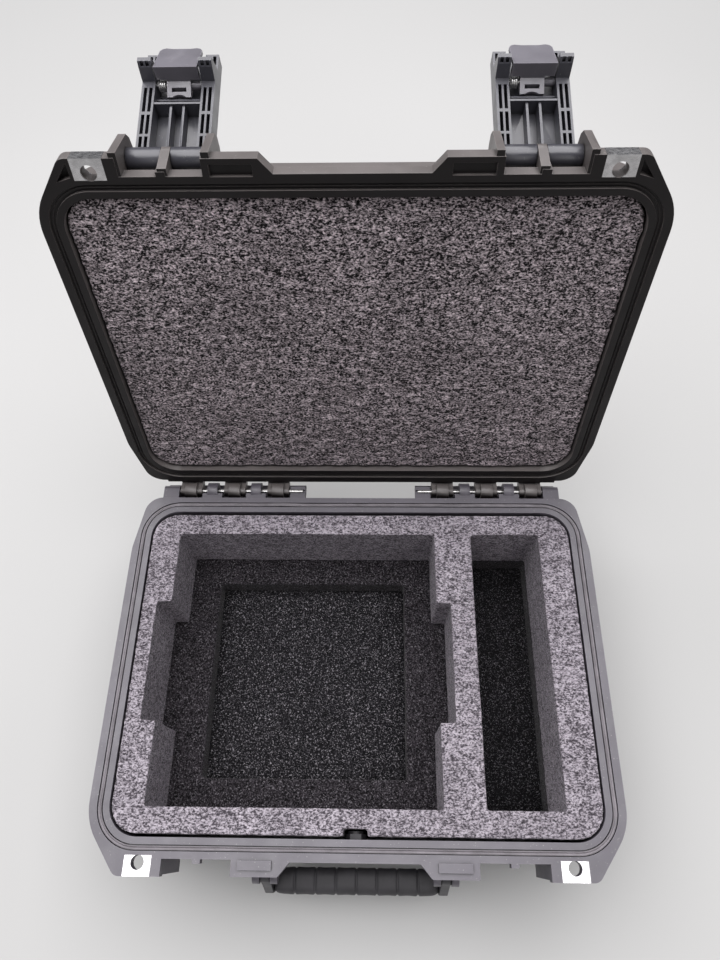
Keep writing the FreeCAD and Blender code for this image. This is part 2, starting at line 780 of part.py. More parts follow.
def lid_knuckles(body):
    """Three wide hinge knuckles, each with a narrow cam around its middle, and the rear lip."""
    made = []
    for i in range(3):
        middle = "lid_knuckle_first + %d * knuckle_pitch" % i
        left, right = middle + " - lid_knuckle_root_half", middle + " + lid_knuckle_root_half"
        root = [(left, right, "rear_edge - 1", "knuckle_root_y + 2")]
        made.append(blocks(body, root, "parting_height + knuckle_root_gap", LID_FLANGE_TOP))
        arm = [("hinge_axis_y - knuckle_radius", HINGE_Z),
               ("hinge_axis_y + knuckle_radius", HINGE_Z),
               ("hinge_axis_y + knuckle_radius", "parting_height + 2"),
               ("knuckle_root_y + 1", LID_FLANGE_TOP),
               ("hinge_axis_y - knuckle_radius", LID_FLANGE_TOP)]
        made.append(slab(body, left, right, arm))
        made.append(rod(body, left, right, "hinge_axis_y", HINGE_Z, "knuckle_radius"))
        made.append(rod(body, middle + " - lid_knuckle_half", middle + " + lid_knuckle_half",
                        "hinge_axis_y", HINGE_Z, "cam_radius"))
    lip = [("0", "lid_rear_half_x", "rear_edge - 1", "lid_rear_edge")]
    made.append(blocks(body, lip, "parting_height", LID_FLANGE_TOP))
    return made


def key_pocket(body):
    """Pocket for the base's key pad."""
    sketch = new_sketch(body, "XY_Plane", "parting_height")
    add_rectangle(sketch, "key_inner_x - key_play", "key_outer_x + key_play",
                  "-key_front_y - key_play", "-key_back_y + key_play")
    return pocket(body, sketch, "key_proud + key_play", reverse=True)


def corner_pocket(body):
    """Triangular pocket in the front corner of the flange."""
    sketch = new_sketch(body, "XY_Plane", "parting_height")
    near = "plate_outer_x + pocket_side_gap"
    add_outline(sketch, [(near, "-pocket_back_y"), (near, "-pocket_point_y"),
                         (near + " + pocket_wide", "-pocket_far_y")])
    return pocket(body, sketch, "corner_pocket_deep", reverse=True)


# ---------------------------------------------------------------- small fixed pieces

def lock_plate(label, side, inward):
    """A steel plate folded into a U over the flange edge, with the lock hole through it."""
    body = new_piece(label)
    near = "parting_height"
    far = "parting_height + (%s) * flange_thick" % inward
    skin = "(%s) * plate_thick" % inward
    profile = [("-plate_back_y", near), ("-front_edge", near), ("-front_edge", far),
               ("-plate_back_y", far), ("-plate_back_y", "%s - %s" % (far, skin)),
               ("-front_edge + plate_thick", "%s - %s" % (far, skin)),
               ("-front_edge + plate_thick", "%s + %s" % (near, skin)),
               ("-plate_back_y", "%s + %s" % (near, skin))]
    start, end = ("plate_inner_x", "plate_outer_x")
    if side < 0:
        start, end = minus(end), minus(start)
    slab(body, start, end, profile)
    sketch = new_sketch(body, "XY_Plane", "parting_height + flange_thick + 1")
    add_circle(sketch, "%d * lock_hole_x" % side, "-lock_hole_y", "lock_hole_radius")
    pocket(body, sketch, "2 * flange_thick + 2")
    return body


def cross_pin(label, left, right, y, z, radius):
    """A plain steel pin along X."""
    body = new_piece(label)
    rod(body, left, right, y, z, radius)
    return body


def side_pin(label, side, near, far, y, z, radius):
    """A pin on one side of the case, between two distances from the middle plane."""
    if side > 0:
        return cross_pin(label, near, far, y, z, radius)
    return cross_pin(label, minus(far), minus(near), y, z, radius)


# ---------------------------------------------------------------- latch, in its own frame

def along_latch(corners):
    """Sketch corners from pairs of (height, distance along the latch)."""
    return [(height, minus(distance)) for height, distance in corners]


def latch_body(label):
    """Latch lever: barrels on the latch pin, a slotted tray, raised jaws and an end shelf."""
    body = new_piece(label)
    half = "latch_half_width"
    floor = "latch_plate_thick - skin_drop"
    slab(body, minus(half), half, along_latch([
        ("-skin_start_drop", "latch_start"),
        ("-skin_drop", "skin_level_start"),
        ("-skin_drop", "latch_end"),
        (floor, "latch_end"),
        (floor, "skin_level_start"),
        ("latch_plate_thick - skin_start_drop", "latch_start")]))
    for sign in ("", "-"):
        latch_barrel(body, sign)
        latch_side(body, sign)
        tray_rib(body, sign, floor)
    across = ("-rail_start_x - 0.5", "rail_start_x + 0.5", floor)
    blocks(body, [(*across, "-cross_rib_drop")], "-cross_rib_end", "-cross_rib_start")
    blocks(body, [(*across, "-low_rib_drop")], "-low_rib_end", "-low_rib_start")
    deep, above = floor + " + 1", "jaw_rise + 1"
    latch_slots(body, "slot_root", "slot_root_end", "-slot_root_drop", above)
    latch_slots(body, "slot_first", "slot_first_end", deep, above)
    latch_slots(body, "slot_second", "slot_second_end", deep, above)
    latch_slots(body, "jaw_slot", "jaw_slot_end", "-jaw_slot_drop", above)
    latch_slots(body, "end_slot", "end_slot_end", deep, above)
    rod(body, "-barrel_half - 1", "barrel_half + 1", "0", "0",
        "latch_pin_radius + pin_clearance", cut=True)
    rod(body, "-trigger_pin_half", "trigger_pin_half", *TRIGGER_AXIS,
        "trigger_pin_radius + pin_clearance", cut=True)
    return body


def side_slab(body, sign, near, far, corners):
    """A slab between two distances from the latch's middle, on the +X or -X side."""
    if sign:
        return slab(body, minus(far), minus(near), corners)
    return slab(body, near, far, corners)


def latch_barrel(body, sign):
    """A barrel on the latch pin, and the neck that joins it to the tray."""
    low, high = "barrel_gap_half", "barrel_half"
    ends = (minus(high), minus(low)) if sign else (low, high)
    rod(body, *ends, "0", "0", "barrel_radius")
    side_slab(body, sign, low, "latch_half_width", along_latch([
        ("neck_half", "0"),
        ("-rail_drop", "neck_end"),
        ("-skin_start_drop", "neck_end"),
        ("-skin_start_drop", "latch_start"),
        ("-neck_half", "0")]))


def latch_side(body, sign):
    """The rail along one side of the latch, with its jaw and the shelf past the jaw."""
    side_slab(body, sign, "rail_start_x", "latch_half_width", along_latch([
        ("-rail_drop", "latch_start"),
        ("-skin_start_drop", "latch_start"),
        ("-skin_drop", "skin_level_start"),
        ("-skin_drop", "latch_end"),
        ("-shelf_drop", "latch_end"),
        ("-shelf_drop", "jaw_back + 1"),
        ("-jaw_back_drop", "jaw_back"),
        ("jaw_rise", "jaw_tip_end"),
        ("jaw_rise", "jaw_tip"),
        ("jaw_throat_rise", "jaw_throat"),
        ("-rail_drop", "jaw_foot")]))


def tray_rib(body, sign, floor):
    """A thin rib along the tray, from the neck to the cross rib."""
    side_slab(body, sign, "tray_rib_x - tray_rib_half", "tray_rib_x + tray_rib_half", along_latch([
        ("-tray_rib_drop", "neck_end"),
        ("-tray_rib_drop", "cross_rib_start + 0.5"),
        (floor + " - 0.5", "cross_rib_start + 0.5"),
        (floor + " - 0.5", "skin_level_start"),
        ("-skin_start_drop", "neck_end")]))


def latch_slots(body, near, far, low, high):
    """Two side-by-side slots in each rail, between two distances along the latch."""
    slots = []
    for start in ("slot_first_x", "slot_first_x + slot_pitch_x"):
        slots.append((start, start + " + slot_width", low, high))
        slots.append((minus(start + " + slot_width"), minus(start), low, high))
    return blocks(body, slots, minus(far), minus(near), cut=True)


def trigger(label):
    """Trigger lever: a hub, a hook plate, and a block with a slanted finger tab."""
    body = new_piece(label)
    rod(body, "-hook_half_x", "hook_half_x", *TRIGGER_AXIS, "hub_radius")
    rod(body, "0", "side_hub_end", *TRIGGER_AXIS, "side_hub_radius")
    slab(body, "-hook_half_x", "hook_half_x", along_latch([
        ("-hook_root_drop", "hook_root"),
        ("-hook_start_drop", "hook_start"),
        ("-hook_start_drop - hook_thick", "hook_start + 0.5"),
        ("-trigger_axis_drop - hook_thick + 0.5", "trigger_axis_along - 1"),
        ("-trigger_axis_drop", "trigger_axis_along")]))
    slab(body, "-hook_half_x", "hook_half_x", along_latch([
        ("-trigger_axis_drop", "hook_root"),
        ("-hook_root_drop", "hook_root"),
        ("block_rise - 1", "block_edge"),
        ("block_rise - 2", "block_edge + block_thick"),
        ("-trigger_axis_drop", "block_edge + block_thick - 1")]))
    slab(body, "-block_half", "block_half", along_latch([
        ("-block_low_drop", "hook_root + 0.1"),
        ("block_rise", "block_edge"),
        ("block_rise - tab_thick + 0.8", "block_edge + block_thick"),
        ("-block_low_drop", "hook_root + block_thick")]))
    finger_tab(body)
    slot = [("-hook_slot_half", "hook_slot_half", "-hook_start_drop - hook_thick - 1",
             "1 - hook_root_drop")]
    blocks(body, slot, "-hook_slot_end", "-hook_slot_start", cut=True)
    scoop = new_sketch(body, "XZ_Plane", "hook_root_drop - 1")
    add_circle(scoop, "0", "hook_scoop_radius - hook_scoop_deep - hook_start", "hook_scoop_radius")
    pocket(body, scoop, "hook_thick + 8", reverse=True)
    rod(body, "-hook_half_x - 1", "side_hub_end + 1", *TRIGGER_AXIS,
        "trigger_pin_radius + pin_clearance", cut=True)
    return body


def finger_tab(body):
    """The slanted tab that a finger pulls, with clipped corners and a slightly hollow tip."""
    slab(body, "-tab_half", "tab_half", along_latch([
        ("block_rise", "block_edge"),
        ("-tab_end_drop", "tab_end"),
        ("-tab_end_drop - 0.9 * tab_thick", "tab_end - 0.4 * tab_thick"),
        ("block_rise - 1.1 * tab_thick", "block_edge + 0.2")]))
    right = [("tab_half", "tab_corner - tab_end"),
             ("tab_half - 0.35 * tab_corner", "0.3 * tab_corner - tab_end"),
             ("tab_half - tab_corner", "-tab_end"),
             ("0.4 * tab_half", "tab_hollow - tab_end")]
    beyond = [("tab_half + 1", "-tab_end - 1"), ("tab_half + 1", "tab_corner - tab_end")]
    left = [(minus(x), z) for x, z in reversed(beyond + right)]
    sketch = new_sketch(body, "XZ_Plane", "-block_rise")
    add_outline(sketch, beyond + right + left)
    return pocket(body, sketch, "block_rise + tab_end_drop + 2 * tab_thick", reverse=True)


def trigger_spring(label):
    """Torsion coil around the trigger pin, swept along a helix."""
    helix = doc.addObject("Part::Helix", label + "_path")
    helix.setExpression("Pitch", bound("spring_pitch"))
    helix.setExpression("Height", bound("spring_length"))
    helix.setExpression("Radius", bound("spring_radius"))
    wire = doc.addObject("Part::Circle", label + "_wire")
    wire.setExpression("Radius", bound("spring_wire_radius"))
    wire.setExpression("Placement.Base.x", bound("spring_radius"))
    wire.Placement.Rotation = FreeCAD.Rotation(FreeCAD.Vector(1, 0, 0), 90)
    spring = doc.addObject("Part::Sweep", label)
    spring.Label = label
    spring.Sections = [wire]
    spring.Spine = (helix, [])
    spring.Solid = True
    spring.Frenet = True
    pieces.append(spring)
    return spring


# ---------------------------------------------------------------- handle

def handle_frame():
    """Rigid handle: a hub and an arm on each side, and the bar inside the grip."""
    body = new_piece("handle_frame")
    bar_low, bar_high = "grip_axis_height - bar_half", "grip_axis_height + bar_half"
    blocks(body, [("-arm_outer_x", "arm_outer_x", "-grip_axis_y - bar_half",
                   "-grip_axis_y + bar_half")], bar_low, bar_high)
    arm = [("-handle_axis_y - handle_hub_radius + 1", "handle_axis_height"),
           ("-grip_axis_y - grip_half_y + 1", "grip_axis_height + 6"),
           ("-grip_axis_y - grip_half_y + 1", "grip_axis_height - 4"),
           ("-grip_axis_y - 3", "grip_axis_height - grip_half_z + 1"),
           ("-grip_axis_y + 6", "grip_axis_height - 6"),
           ("-handle_axis_y + handle_hub_radius - 1", "handle_axis_height")]
    made = [rod(body, "hub_inner_x", "hub_outer_x", "-handle_axis_y", "handle_axis_height",
                "handle_hub_radius"),
            slab(body, "arm_inner_x", "arm_outer_x", arm)]
    mirror(body, made)
    hole = rod(body, "hub_inner_x - 1", "hub_outer_x + 1", "-handle_axis_y",
               "handle_axis_height", "handle_pin_radius + pin_clearance", cut=True)
    mirror(body, [hole])
    return body


def handle_grip():
    """Soft grip around the handle's bar, with evenly spaced ring grooves."""
    body = new_piece("handle_grip")
    sketch = new_sketch(body, "YZ_Plane", "-grip_half_x")
    low, high = "grip_axis_height - grip_half_z", "grip_axis_height + grip_half_z"
    add_rectangle(sketch, "-grip_axis_y - grip_half_y", "-grip_axis_y + grip_half_y", low, high)
    pad(body, sketch, "2 * grip_half_x")
    length = value("2 * grip_half_x")
    round_edges(body, lambda edge: abs(edge.BoundBox.XLength - length) < 0.1, "grip_round")
    for i in range(-3, 4):
        middle = "%d * grip_groove_pitch" % i
        ring = new_sketch(body, "YZ_Plane", middle + " - grip_groove_half")
        add_rectangle(ring, "-grip_axis_y - grip_half_y - 2", "-grip_axis_y + grip_half_y + 2",
                      low + " - 2", high + " + 2")
        add_circle(ring, "-grip_axis_y", "grip_axis_height", "grip_half_y - grip_groove_deep")
        pocket(body, ring, "2 * grip_groove_half", reverse=True)
    hole = new_sketch(body, "YZ_Plane", "-grip_half_x - 1")
    add_rectangle(hole, "-grip_axis_y - bar_half - pin_clearance",
                  "-grip_axis_y + bar_half + pin_clearance",
                  "grip_axis_height - bar_half - pin_clearance",
                  "grip_axis_height + bar_half + pin_clearance")
    pocket(body, hole, "2 * grip_half_x + 2", reverse=True)
    return body


# ---------------------------------------------------------------- foam

def foam_sheet(label, low, high):
    body = new_piece(label)
    rounded_block(body, "foam_half_x", "foam_half_y", "foam_corner", low, high)
    return body


def foam_lining():
    base_top = FLOOR_TOP + " + foam_base_thick"
    middle_top = base_top + " + foam_middle_thick"
    top = middle_top + " + foam_top_thick"
    side_pocket = ("side_pocket_left", "side_pocket_right", "-pocket_half_y", "pocket_half_y")
    foam_sheet("foam_base_pad", FLOOR_TOP, base_top)
    middle = foam_sheet("foam_middle_layer", base_top, middle_top)
    well = ("-well_left", "well_right", "-well_half_y", "well_half_y")
    blocks(middle, [well, side_pocket], base_top, middle_top, cut=True)
    upper = foam_sheet("foam_top_layer", middle_top, top)
    sketch = new_sketch(upper, "XY_Plane", top)
    add_rectangle(sketch, *side_pocket)
    add_outline(sketch, [
        ("-pocket_left", "-pocket_half_y"), ("pocket_right", "-pocket_half_y"),
        ("pocket_right", "-notch_half_y"), ("notch_right", "-notch_half_y"),
        ("notch_right", "notch_half_y"), ("pocket_right", "notch_half_y"),
        ("pocket_right", "pocket_half_y"), ("-pocket_left", "pocket_half_y"),
        ("-pocket_left", "notch_half_y"), ("-notch_left", "notch_half_y"),
        ("-notch_left", "-notch_half_y"), ("-pocket_left", "-notch_half_y")])
    pocket(upper, sketch, "foam_top_thick")
    notch = ("-valve_notch_half", "valve_notch_half", "-foam_half_y - 1",
             "valve_notch_deep - foam_half_y")
    blocks(upper, [notch], middle_top, top, cut=True)


def lid_foam():
    return foam_sheet("lid_foam", "parting_height + lid_foam_recess",
                      LID_INNER_TOP + " - lid_foam_gap")


# ---------------------------------------------------------------- vent valve, along Y

def disc(body, near, far, radius):
    """A round disc on the valve's axis, between two distances in front of the middle."""
    sketch = new_sketch(body, "XZ_Plane", near)
    add_circle(sketch, "0", "valve_height", radius)
    return pad(body, sketch, "(%s) - (%s)" % (far, near))


def vent_valve():
    seal_face = OUTER_Y + " + valve_seal_thick"
    head_face = seal_face + " + valve_head_thick"
    stem = new_piece("valve_body")
    disc(stem, "inner_half_y - valve_inner_reach", seal_face, "valve_radius")
    disc(stem, seal_face, head_face, "valve_head_radius")
    disc(stem, head_face, head_face + " + valve_stub_reach", "valve_stub_radius")
    seal = new_piece("valve_seal")
    disc(seal, OUTER_Y, seal_face, "valve_seal_radius")
    hole = new_sketch(seal, "XZ_Plane", OUTER_Y + " - 1")
    add_circle(hole, "0", "valve_height", "valve_radius + pin_clearance")
    pocket(seal, hole, "valve_seal_thick + 2", reverse=True)
    nut = new_piece("valve_nut")
    sketch = new_sketch(nut, "XZ_Plane", "inner_half_y - valve_nut_thick")
    corners = []
    for across, up in ((1, 0), (0.5, 0.866), (-0.5, 0.866), (-1, 0), (-0.5, -0.866), (0.5, -0.866)):
        corners.append(("%s * valve_nut_radius" % across,
                        "valve_height + %s * valve_nut_radius" % up))
    add_outline(sketch, corners)
    add_circle(sketch, "0", "valve_height", "valve_radius + pin_clearance")
    pad(nut, sketch, "valve_nut_thick")
    cap = new_piece("valve_cap")
    disc(cap, head_face, head_face + " + valve_cap_thick", "valve_cap_radius")
    hole = new_sketch(cap, "XZ_Plane", head_face + " - 1")
    add_circle(hole, "0", "valve_height", "valve_stub_radius + pin_clearance")
    pocket(cap, hole, "valve_stub_reach + 1.2", reverse=True)


# ---------------------------------------------------------------- placing the moving pieces

def turned(degrees, y, z):
    """A turn about an axis along X through (y, z)."""
    turn = FreeCAD.Rotation(FreeCAD.Vector(1, 0, 0), degrees)
    return FreeCAD.Placement(FreeCAD.Vector(0, 0, 0), turn, FreeCAD.Vector(0, y, z))


def lid_placement():
    return turned(-value("lid_open_angle"), value("hinge_axis_y"), value(HINGE_Z))


def latch_placement(side):
    """From the latch's own frame to its open rest place on the open lid."""
    at_axis = FreeCAD.Vector(side * value("latch_centre"), -value("latch_axis_y"), value(LATCH_Z))
    swing = FreeCAD.Rotation(FreeCAD.Vector(1, 0, 0), -value("latch_open_angle"))
    return lid_placement() * FreeCAD.Placement(at_axis, swing)


def spring_placement(side):
    """The coil's axis lies along X, on the -X side of the hook block."""
    start = FreeCAD.Vector(-value("hook_half_x + spring_gap + spring_wire_radius + spring_length"),
                           *[value(place) for place in TRIGGER_AXIS])
    along_x = FreeCAD.Rotation(FreeCAD.Vector(0, 1, 0), 90)
    return latch_placement(side) * FreeCAD.Placement(start, along_x)


def build_case():
    base_shell()
    rim_gasket()
    foam_lining()
    vent_valve()
    handle_frame()
    handle_grip()
    opened = [lid_shell(), lid_foam()]
    for side, name in ((-1, "left"), (1, "right")):
        side_pin("hinge_pin_" + name, side, "hinge_pin_start", "hinge_pin_end",
                 "hinge_axis_y", HINGE_Z, "hinge_pin_radius")
        side_pin("handle_pin_" + name, side, "inner_lug_x - 0.5", "outer_lug_x + lug_thick + 0.5",
                 "-handle_axis_y", "handle_axis_height", "handle_pin_radius")
        lock_plate("base_lock_plate_" + name, side, "-1")
        opened.append(lock_plate("lid_lock_plate_" + name, side, "1"))
        opened.append(side_pin("latch_pin_" + name, side,
                               "latch_centre - ear_inner_gap - ear_thick",
                               "latch_centre + ear_inner_gap + ear_thick",
                               "-latch_axis_y", LATCH_Z, "latch_pin_radius"))
        on_latch = [latch_body("latch_body_" + name), trigger("trigger_" + name),
                    cross_pin("trigger_pin_" + name, "trigger_pin_play - trigger_pin_half",
                              "trigger_pin_half - trigger_pin_play", *TRIGGER_AXIS,
                              "trigger_pin_radius")]
        for piece in on_latch:
            piece.Placement = latch_placement(side)
        spring = trigger_spring("trigger_spring_" + name)
        spring.Placement = spring_placement(side)
    for piece in opened:
        piece.Placement = lid_placement()


def check_model():
    """Stop if any object failed, any cut removed nothing, or a piece isn't sound."""
    for item in doc.Objects:
        if "Invalid" in item.State or "Error" in item.State:
            raise RuntimeError("%s failed: %s" % (item.Name, item.State))
        if item.TypeId == "PartDesign::Pocket":
            if item.Shape.Volume > item.BaseFeature.Shape.Volume - 0.1:
                raise RuntimeError("%s cuts nothing" % item.Name)
    for piece in pieces:
        if piece.Shape.isNull() or not piece.Shape.isValid():
            raise RuntimeError("%s is not a sound shape" % piece.Label)
        if len(piece.Shape.Solids) != 1:
            raise RuntimeError("%s has %d solids" % (piece.Label, len(piece.Shape.Solids)))


build_case()
doc.recompute()
check_model()
os.makedirs("parts", exist_ok=True)
for piece in pieces:
    piece.Shape.exportStep("parts/%s.step" % piece.Label)
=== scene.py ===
import json
import math

import bmesh
import bpy
import numpy as np
from mathutils import Matrix, Vector, noise


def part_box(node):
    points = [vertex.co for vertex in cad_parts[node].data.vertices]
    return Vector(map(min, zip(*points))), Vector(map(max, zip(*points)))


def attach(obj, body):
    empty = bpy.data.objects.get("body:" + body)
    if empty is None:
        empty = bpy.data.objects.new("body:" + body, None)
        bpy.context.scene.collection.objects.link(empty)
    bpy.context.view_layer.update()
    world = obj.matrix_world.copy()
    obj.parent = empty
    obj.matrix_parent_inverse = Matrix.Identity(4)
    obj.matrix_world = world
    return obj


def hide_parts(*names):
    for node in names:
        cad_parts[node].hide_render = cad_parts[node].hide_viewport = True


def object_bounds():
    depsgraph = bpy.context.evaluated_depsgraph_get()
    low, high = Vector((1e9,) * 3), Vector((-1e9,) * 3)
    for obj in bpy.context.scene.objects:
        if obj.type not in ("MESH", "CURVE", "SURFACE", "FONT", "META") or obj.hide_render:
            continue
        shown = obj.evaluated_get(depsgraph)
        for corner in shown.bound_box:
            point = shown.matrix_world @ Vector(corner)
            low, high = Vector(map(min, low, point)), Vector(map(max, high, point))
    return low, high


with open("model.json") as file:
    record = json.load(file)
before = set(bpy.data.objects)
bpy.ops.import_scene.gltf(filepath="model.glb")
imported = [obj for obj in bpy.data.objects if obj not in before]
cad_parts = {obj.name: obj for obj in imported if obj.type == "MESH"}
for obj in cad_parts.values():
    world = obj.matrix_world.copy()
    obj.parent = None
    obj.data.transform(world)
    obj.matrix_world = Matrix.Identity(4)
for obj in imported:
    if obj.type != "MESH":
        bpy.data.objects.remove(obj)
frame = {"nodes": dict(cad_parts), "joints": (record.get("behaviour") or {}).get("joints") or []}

# A hard equipment case standing open: textured shells, two trigger latches, a folding
# handle and a cut foam lining.  Metres, in the same frame as the CAD.

MM = 0.001
nodes = frame["nodes"]
cad_low, cad_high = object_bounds()
SIDES = ("left", "right")


# ---------------------------------------------------------------- places from the frame

def joint(name):
    """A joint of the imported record."""
    return next(item for item in frame["joints"] if item["name"] == name)


def hinge_turn():
    """The turn that takes the closed lid to its open rest place."""
    angle = math.radians(joint("lid_hinge")["range_deg"][1])
    low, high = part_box("hinge_pin_left")
    axis = (low + high) / 2
    pivot = Vector((0, axis.y, axis.z))
    return (Matrix.Translation(pivot) @ Matrix.Rotation(-angle, 4, "X")
            @ Matrix.Translation(-pivot))


LID_OPEN = hinge_turn()


# ---------------------------------------------------------------- materials

class Finish:
    """One node material, built up step by step from noises, mixes and bumps."""

    def __init__(self, name):
        self.material = bpy.data.materials.new(name)
        self.material.use_nodes = True
        self.tree = self.material.node_tree
        self.surface = self.tree.nodes["Principled BSDF"]
        self.place = self.add("ShaderNodeTexCoord").outputs["Object"]

    def add(self, kind, **settings):
        node = self.tree.nodes.new(kind)
        for key, setting in settings.items():
            setattr(node, key, setting)
        return node

    def feed(self, socket, source):
        """Links a socket into another, or sets its plain value."""
        if isinstance(source, bpy.types.NodeSocket):
            self.tree.links.new(source, socket)
        else:
            socket.default_value = source

    def scaled(self, size, stretch):
        """The object's coordinates divided by a feature size, stretched along the axes."""
        mapping = self.add("ShaderNodeMapping")
        self.feed(mapping.inputs["Vector"], self.place)
        mapping.inputs["Scale"].default_value = [1 / (size * s) for s in stretch]
        return mapping.outputs["Vector"]

    def noise(self, size, detail=2.0, roughness=0.5, stretch=(1, 1, 1), distortion=0.0):
        """Smooth random clouds, about size metres across."""
        texture = self.add("ShaderNodeTexNoise")
        self.feed(texture.inputs["Vector"], self.scaled(size, stretch))
        texture.inputs["Scale"].default_value = 1.0
        texture.inputs["Detail"].default_value = detail
        texture.inputs["Roughness"].default_value = roughness
        texture.inputs["Distortion"].default_value = distortion
        return texture.outputs["Fac"]

    def openness(self, reach):
        """1 on open surfaces, falling towards 0 in corners and hollows within reach."""
        occlusion = self.add("ShaderNodeAmbientOcclusion", samples=4)
        occlusion.inputs["Distance"].default_value = reach
        return occlusion.outputs["AO"]

    def between(self, source, low, high, out_low=0.0, out_high=1.0):
        """Spreads the part of a source between low and high over a new range."""
        node = self.add("ShaderNodeMapRange")
        spread = (source, low, high, out_low, out_high)
        for socket, part in zip(node.inputs, spread):
            self.feed(socket, part)
        return node.outputs["Result"]

    def math(self, operation, first, second):
        node = self.add("ShaderNodeMath", operation=operation)
        self.feed(node.inputs[0], first)
        self.feed(node.inputs[1], second)
        return node.outputs["Value"]

    def mix(self, factor, first, second):
        """A colour between two colours."""
        node = self.add("ShaderNodeMix", data_type="RGBA")
        self.feed(node.inputs["Factor"], factor)
        colours = [socket for socket in node.inputs if socket.type == "RGBA"]
        for socket, colour in zip(colours, (first, second)):
            self.feed(socket, colour if isinstance(colour, bpy.types.NodeSocket) else (*colour, 1))
        return next(socket for socket in node.outputs if socket.type == "RGBA")

    def edges(self, radius):
        """About 1 along the object's sharp edges and 0 elsewhere."""
        bevel = self.add("ShaderNodeBevel", samples=4)
        bevel.inputs["Radius"].default_value = radius
        plain = self.add("ShaderNodeNewGeometry").outputs["Normal"]
        dot = self.add("ShaderNodeVectorMath", operation="DOT_PRODUCT")
        self.feed(dot.inputs[0], bevel.outputs["Normal"])
        self.feed(dot.inputs[1], plain)
        flat, sharp = 0.995, 0.85
        return self.between(dot.outputs["Value"], flat, sharp)

    def turned_inward(self):
        """1 on the faces of the open lid that look over the base, 0 elsewhere: where painted shade
        goes.
        """
        normal = self.add("ShaderNodeTexCoord").outputs["Normal"]
        parts = self.add("ShaderNodeSeparateXYZ")
        self.feed(parts.inputs[0], normal)
        return self.between(parts.outputs["Y"], -0.40, -0.80)

    def bump(self, height, strength, distance, before=None):
        node = self.add("ShaderNodeBump")
        node.inputs["Strength"].default_value = strength
        node.inputs["Distance"].default_value = distance
        self.feed(node.inputs["Height"], height)
        if before is not None:
            self.feed(node.inputs["Normal"], before)
        return node.outputs["Normal"]

    def finish(self, colour, roughness, normal, metallic=0.0, specular=0.5, sheen=0.0):
        self.feed(self.surface.inputs["Base Color"], colour)
        self.feed(self.surface.inputs["Roughness"], roughness)
        self.feed(self.surface.inputs["Normal"], normal)
        self.surface.inputs["Metallic"].default_value = metallic
        self.feed(self.surface.inputs["Specular IOR Level"], specular)
        self.surface.inputs["Sheen Weight"].default_value = sheen
        return self.material


def shade(colour, factor):
    return tuple(part * factor for part in colour)


DUST = (0.55, 0.53, 0.50)
CRUMB = (0.42, 0.40, 0.43)


def moulded_plastic(name, colour, roughness, grain, relief, wear=0.5, dust=0.5, specular=0.5,
                    inward_shade_colour=None):
    """Moulded plastic: a fine pebbled grain, uneven tone, rubbed edges, specks of dust and painted
    shade in corners.

    The faces of the open lid that look over the base can get a painted shade colour, near black,
    and less shine.
    """
    finish = Finish(name)
    cloud = finish.noise(0.07, detail=4, roughness=0.6)
    smudge = finish.noise(0.018, detail=3, roughness=0.6)
    tone = finish.mix(finish.between(cloud, 0.35, 0.65), shade(colour, 0.86), shade(colour, 1.14))
    tone = finish.mix(finish.between(smudge, 0.55, 0.75, 0.0, 0.25), tone, shade(colour, 1.5))
    rubbed = finish.math("MULTIPLY", finish.edges(0.9 * MM), wear)
    tone = finish.mix(rubbed, tone, shade(colour, 2.2))
    specks = finish.between(finish.noise(1.0 * MM, detail=0), 0.80, 0.84, 0.0, dust)
    tone = finish.mix(specks, tone, DUST)
    # Painted shade: within 3 mm of corners and creases the tone darkens towards a quarter of the
    # colour.
    painted_corner_shade = finish.between(finish.openness(3 * MM), 0.45, 0.85)
    tone = finish.mix(painted_corner_shade, shade(colour, 0.25), tone)
    # Painted shade: faces turned over the base, away from the light, take the near-black shade
    # colour (lighter on rubbed edges) and shine less.
    if inward_shade_colour is not None:
        inward = finish.turned_inward()
        tone = finish.mix(inward, tone, finish.mix(rubbed, inward_shade_colour, shade(inward_shade_colour, 3.0)))
        specular = finish.between(inward, 0.0, 1.0, specular, 0.3)
    fine = finish.noise(grain, detail=3, roughness=0.6)
    rough = finish.between(smudge, 0.3, 0.7, roughness - 0.07, roughness + 0.08)
    rough = finish.math("ADD", rough, finish.between(fine, 0.3, 0.7, -0.05, 0.05))
    normal = finish.bump(fine, relief, 0.12 * MM)
    return finish.finish(tone, rough, normal, specular=specular)


def steel(name, colour, roughness, brush):
    """Stainless steel with fine brushing along X and a few darker smudges."""
    finish = Finish(name)
    lines = finish.noise(0.25 * MM, detail=3, stretch=brush)
    smudge = finish.noise(5 * MM, detail=3)
    tone = finish.mix(finish.between(smudge, 0.35, 0.7), colour, shade(colour, 0.72))
    rough = finish.between(lines, 0.3, 0.7, roughness * 0.6, roughness * 1.5)
    normal = finish.bump(lines, 0.25, 0.02 * MM)
    return finish.finish(tone, rough, normal, metallic=1.0)


